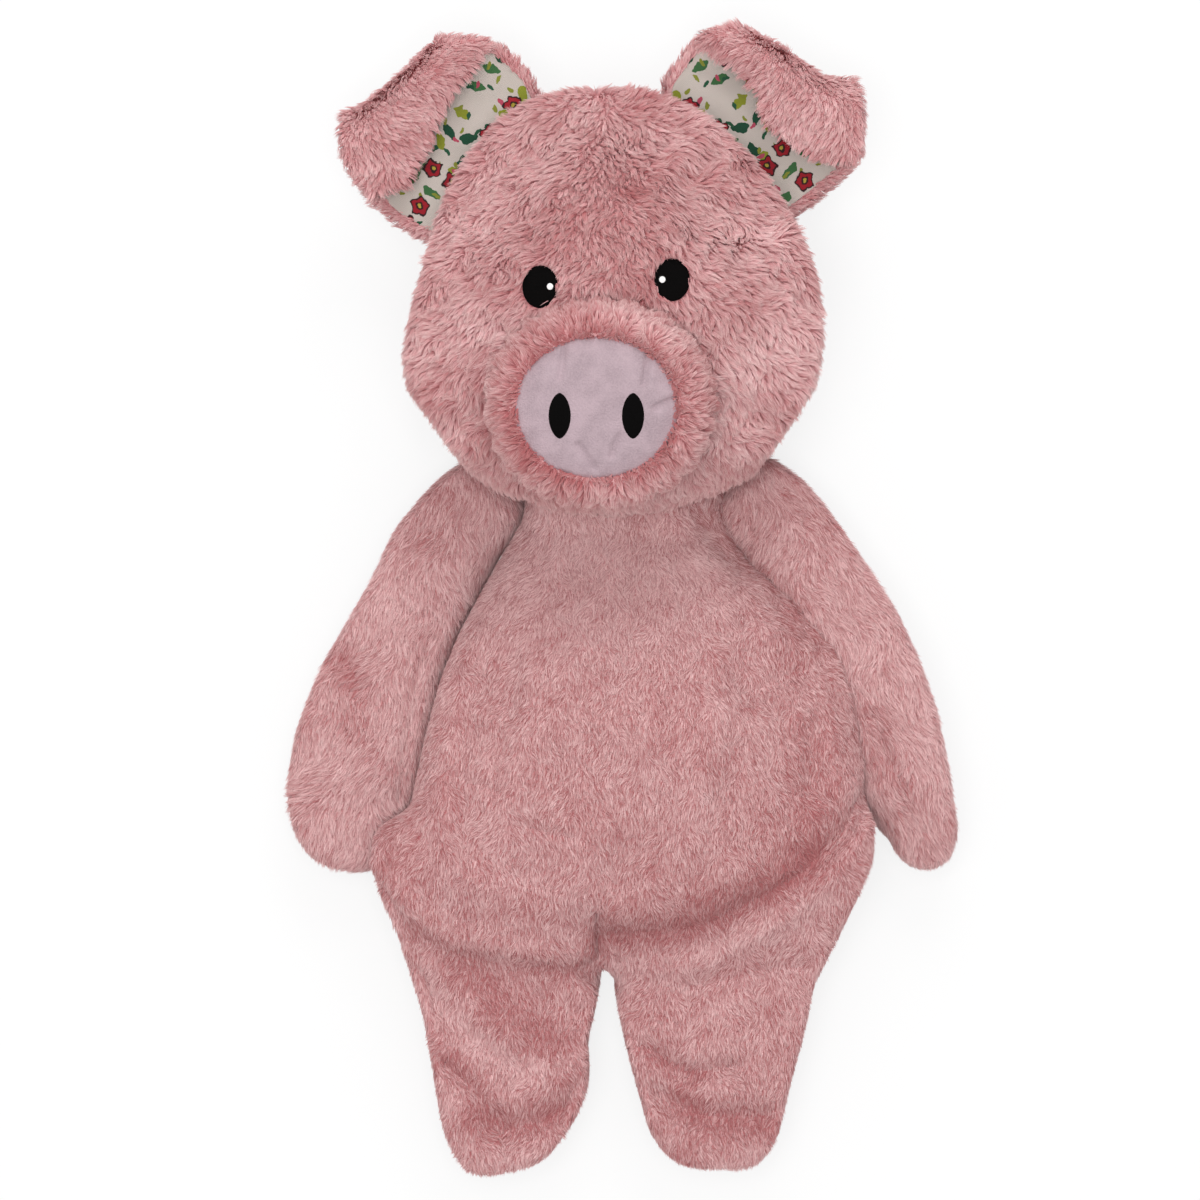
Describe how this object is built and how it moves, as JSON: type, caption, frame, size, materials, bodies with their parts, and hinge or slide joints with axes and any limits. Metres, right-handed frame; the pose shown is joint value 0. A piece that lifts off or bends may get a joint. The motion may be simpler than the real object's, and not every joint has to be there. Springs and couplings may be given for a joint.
{
  "type": "plush pig",
  "caption": "Soft stuffed pig lying on its back, with fur panels, a puffed snout, folded cotton-lined ears and limbs that swing at their seams.",
  "frame": {"origin": "middle of the flat that the toy's back makes where it lies, on the surface that it lies on", "axes": "+Z from the back to the belly, +Y from the feet to the head, +X to the pig's left"},
  "size_m": [0.2235, 0.3842, 0.1075],
  "materials": {
    "body_fur": "short brushed pink plush pile",
    "head_fur": "longer swirled pink plush pile",
    "limb_fur": "brushed pink plush pile",
    "ear_fur": "pale pink plush pile",
    "fibre_fill": "white polyester fibre filling",
    "velour": "short-napped lilac velour",
    "black_thread": "black satin stitch",
    "white_thread": "white satin stitch",
    "ear_cotton": "cream printed cotton"
  },
  "bodies": {
    "torso": {"torso_front_panel": "body_fur", "torso_back_panel": "body_fur", "torso_fill": "fibre_fill"},
    "head": {"face_panel": "head_fur", "head_back_panel": "head_fur", "head_fill": "fibre_fill", "muzzle_band": "head_fur", "snout_disc": "velour", "muzzle_fill": "fibre_fill", "right_nostril": "black_thread", "left_nostril": "black_thread", "right_eye": "black_thread", "left_eye": "black_thread", "right_eye_glint": "white_thread", "left_eye_glint": "white_thread"},
    "right_ear": {"right_ear_outer": "ear_fur", "right_ear_lining": "ear_cotton"},
    "left_ear": {"left_ear_outer": "ear_fur", "left_ear_lining": "ear_cotton"},
    "right_arm": {"right_arm_front_panel": "limb_fur", "right_arm_back_panel": "limb_fur", "right_arm_fill": "fibre_fill"},
    "left_arm": {"left_arm_front_panel": "limb_fur", "left_arm_back_panel": "limb_fur", "left_arm_fill": "fibre_fill"},
    "right_leg": {"right_leg_front_panel": "limb_fur", "right_leg_back_panel": "limb_fur", "right_leg_fill": "fibre_fill"},
    "left_leg": {"left_leg_front_panel": "limb_fur", "left_leg_back_panel": "limb_fur", "left_leg_fill": "fibre_fill"},
    "tail": {"tail": "limb_fur"}
  },
  "joints": [
    {"name": "neck", "type": "hinge", "parent": "torso", "child": "head", "pos_m": [0.0024, 0.084, 0.0195], "axis": [1, 0, 0], "range_deg": [-20, 30]},
    {"name": "right_ear_seam", "type": "hinge", "parent": "head", "child": "right_ear", "pos_m": [-0.02898, 0.21432, 0.03936], "axis": [0.5452, 0.8383, 0], "range_deg": [-25, 45], "stiffness_Nm_per_rad": 0.05},
    {"name": "left_ear_seam", "type": "hinge", "parent": "head", "child": "left_ear", "pos_m": [0.02091, 0.21265, 0.03936], "axis": [0.7402, -0.6724, 0], "range_deg": [-25, 45], "stiffness_Nm_per_rad": 0.05},
    {"name": "right_shoulder", "type": "hinge", "parent": "torso", "child": "right_arm", "pos_m": [-0.04863, 0.076, 0.01205], "axis": [0, 0, -1], "range_deg": [0, 85]},
    {"name": "left_shoulder", "type": "hinge", "parent": "torso", "child": "left_arm", "pos_m": [0.05572, 0.076, 0.01328], "axis": [0, 0, 1], "range_deg": [0, 85]},
    {"name": "right_hip", "type": "hinge", "parent": "torso", "child": "right_leg", "pos_m": [-0.0382, -0.058, 0.015], "axis": [-1, 0, 0], "range_deg": [-20, 70]},
    {"name": "left_hip", "type": "hinge", "parent": "torso", "child": "left_leg", "pos_m": [0.0384, -0.058, 0.015], "axis": [-1, 0, 0], "range_deg": [-20, 70]},
    {"name": "tail_root", "type": "hinge", "parent": "torso", "child": "tail", "pos_m": [0.002, -0.03, 0.0029], "axis": [1, 0, 0], "range_deg": [0, 60]}
  ]
}
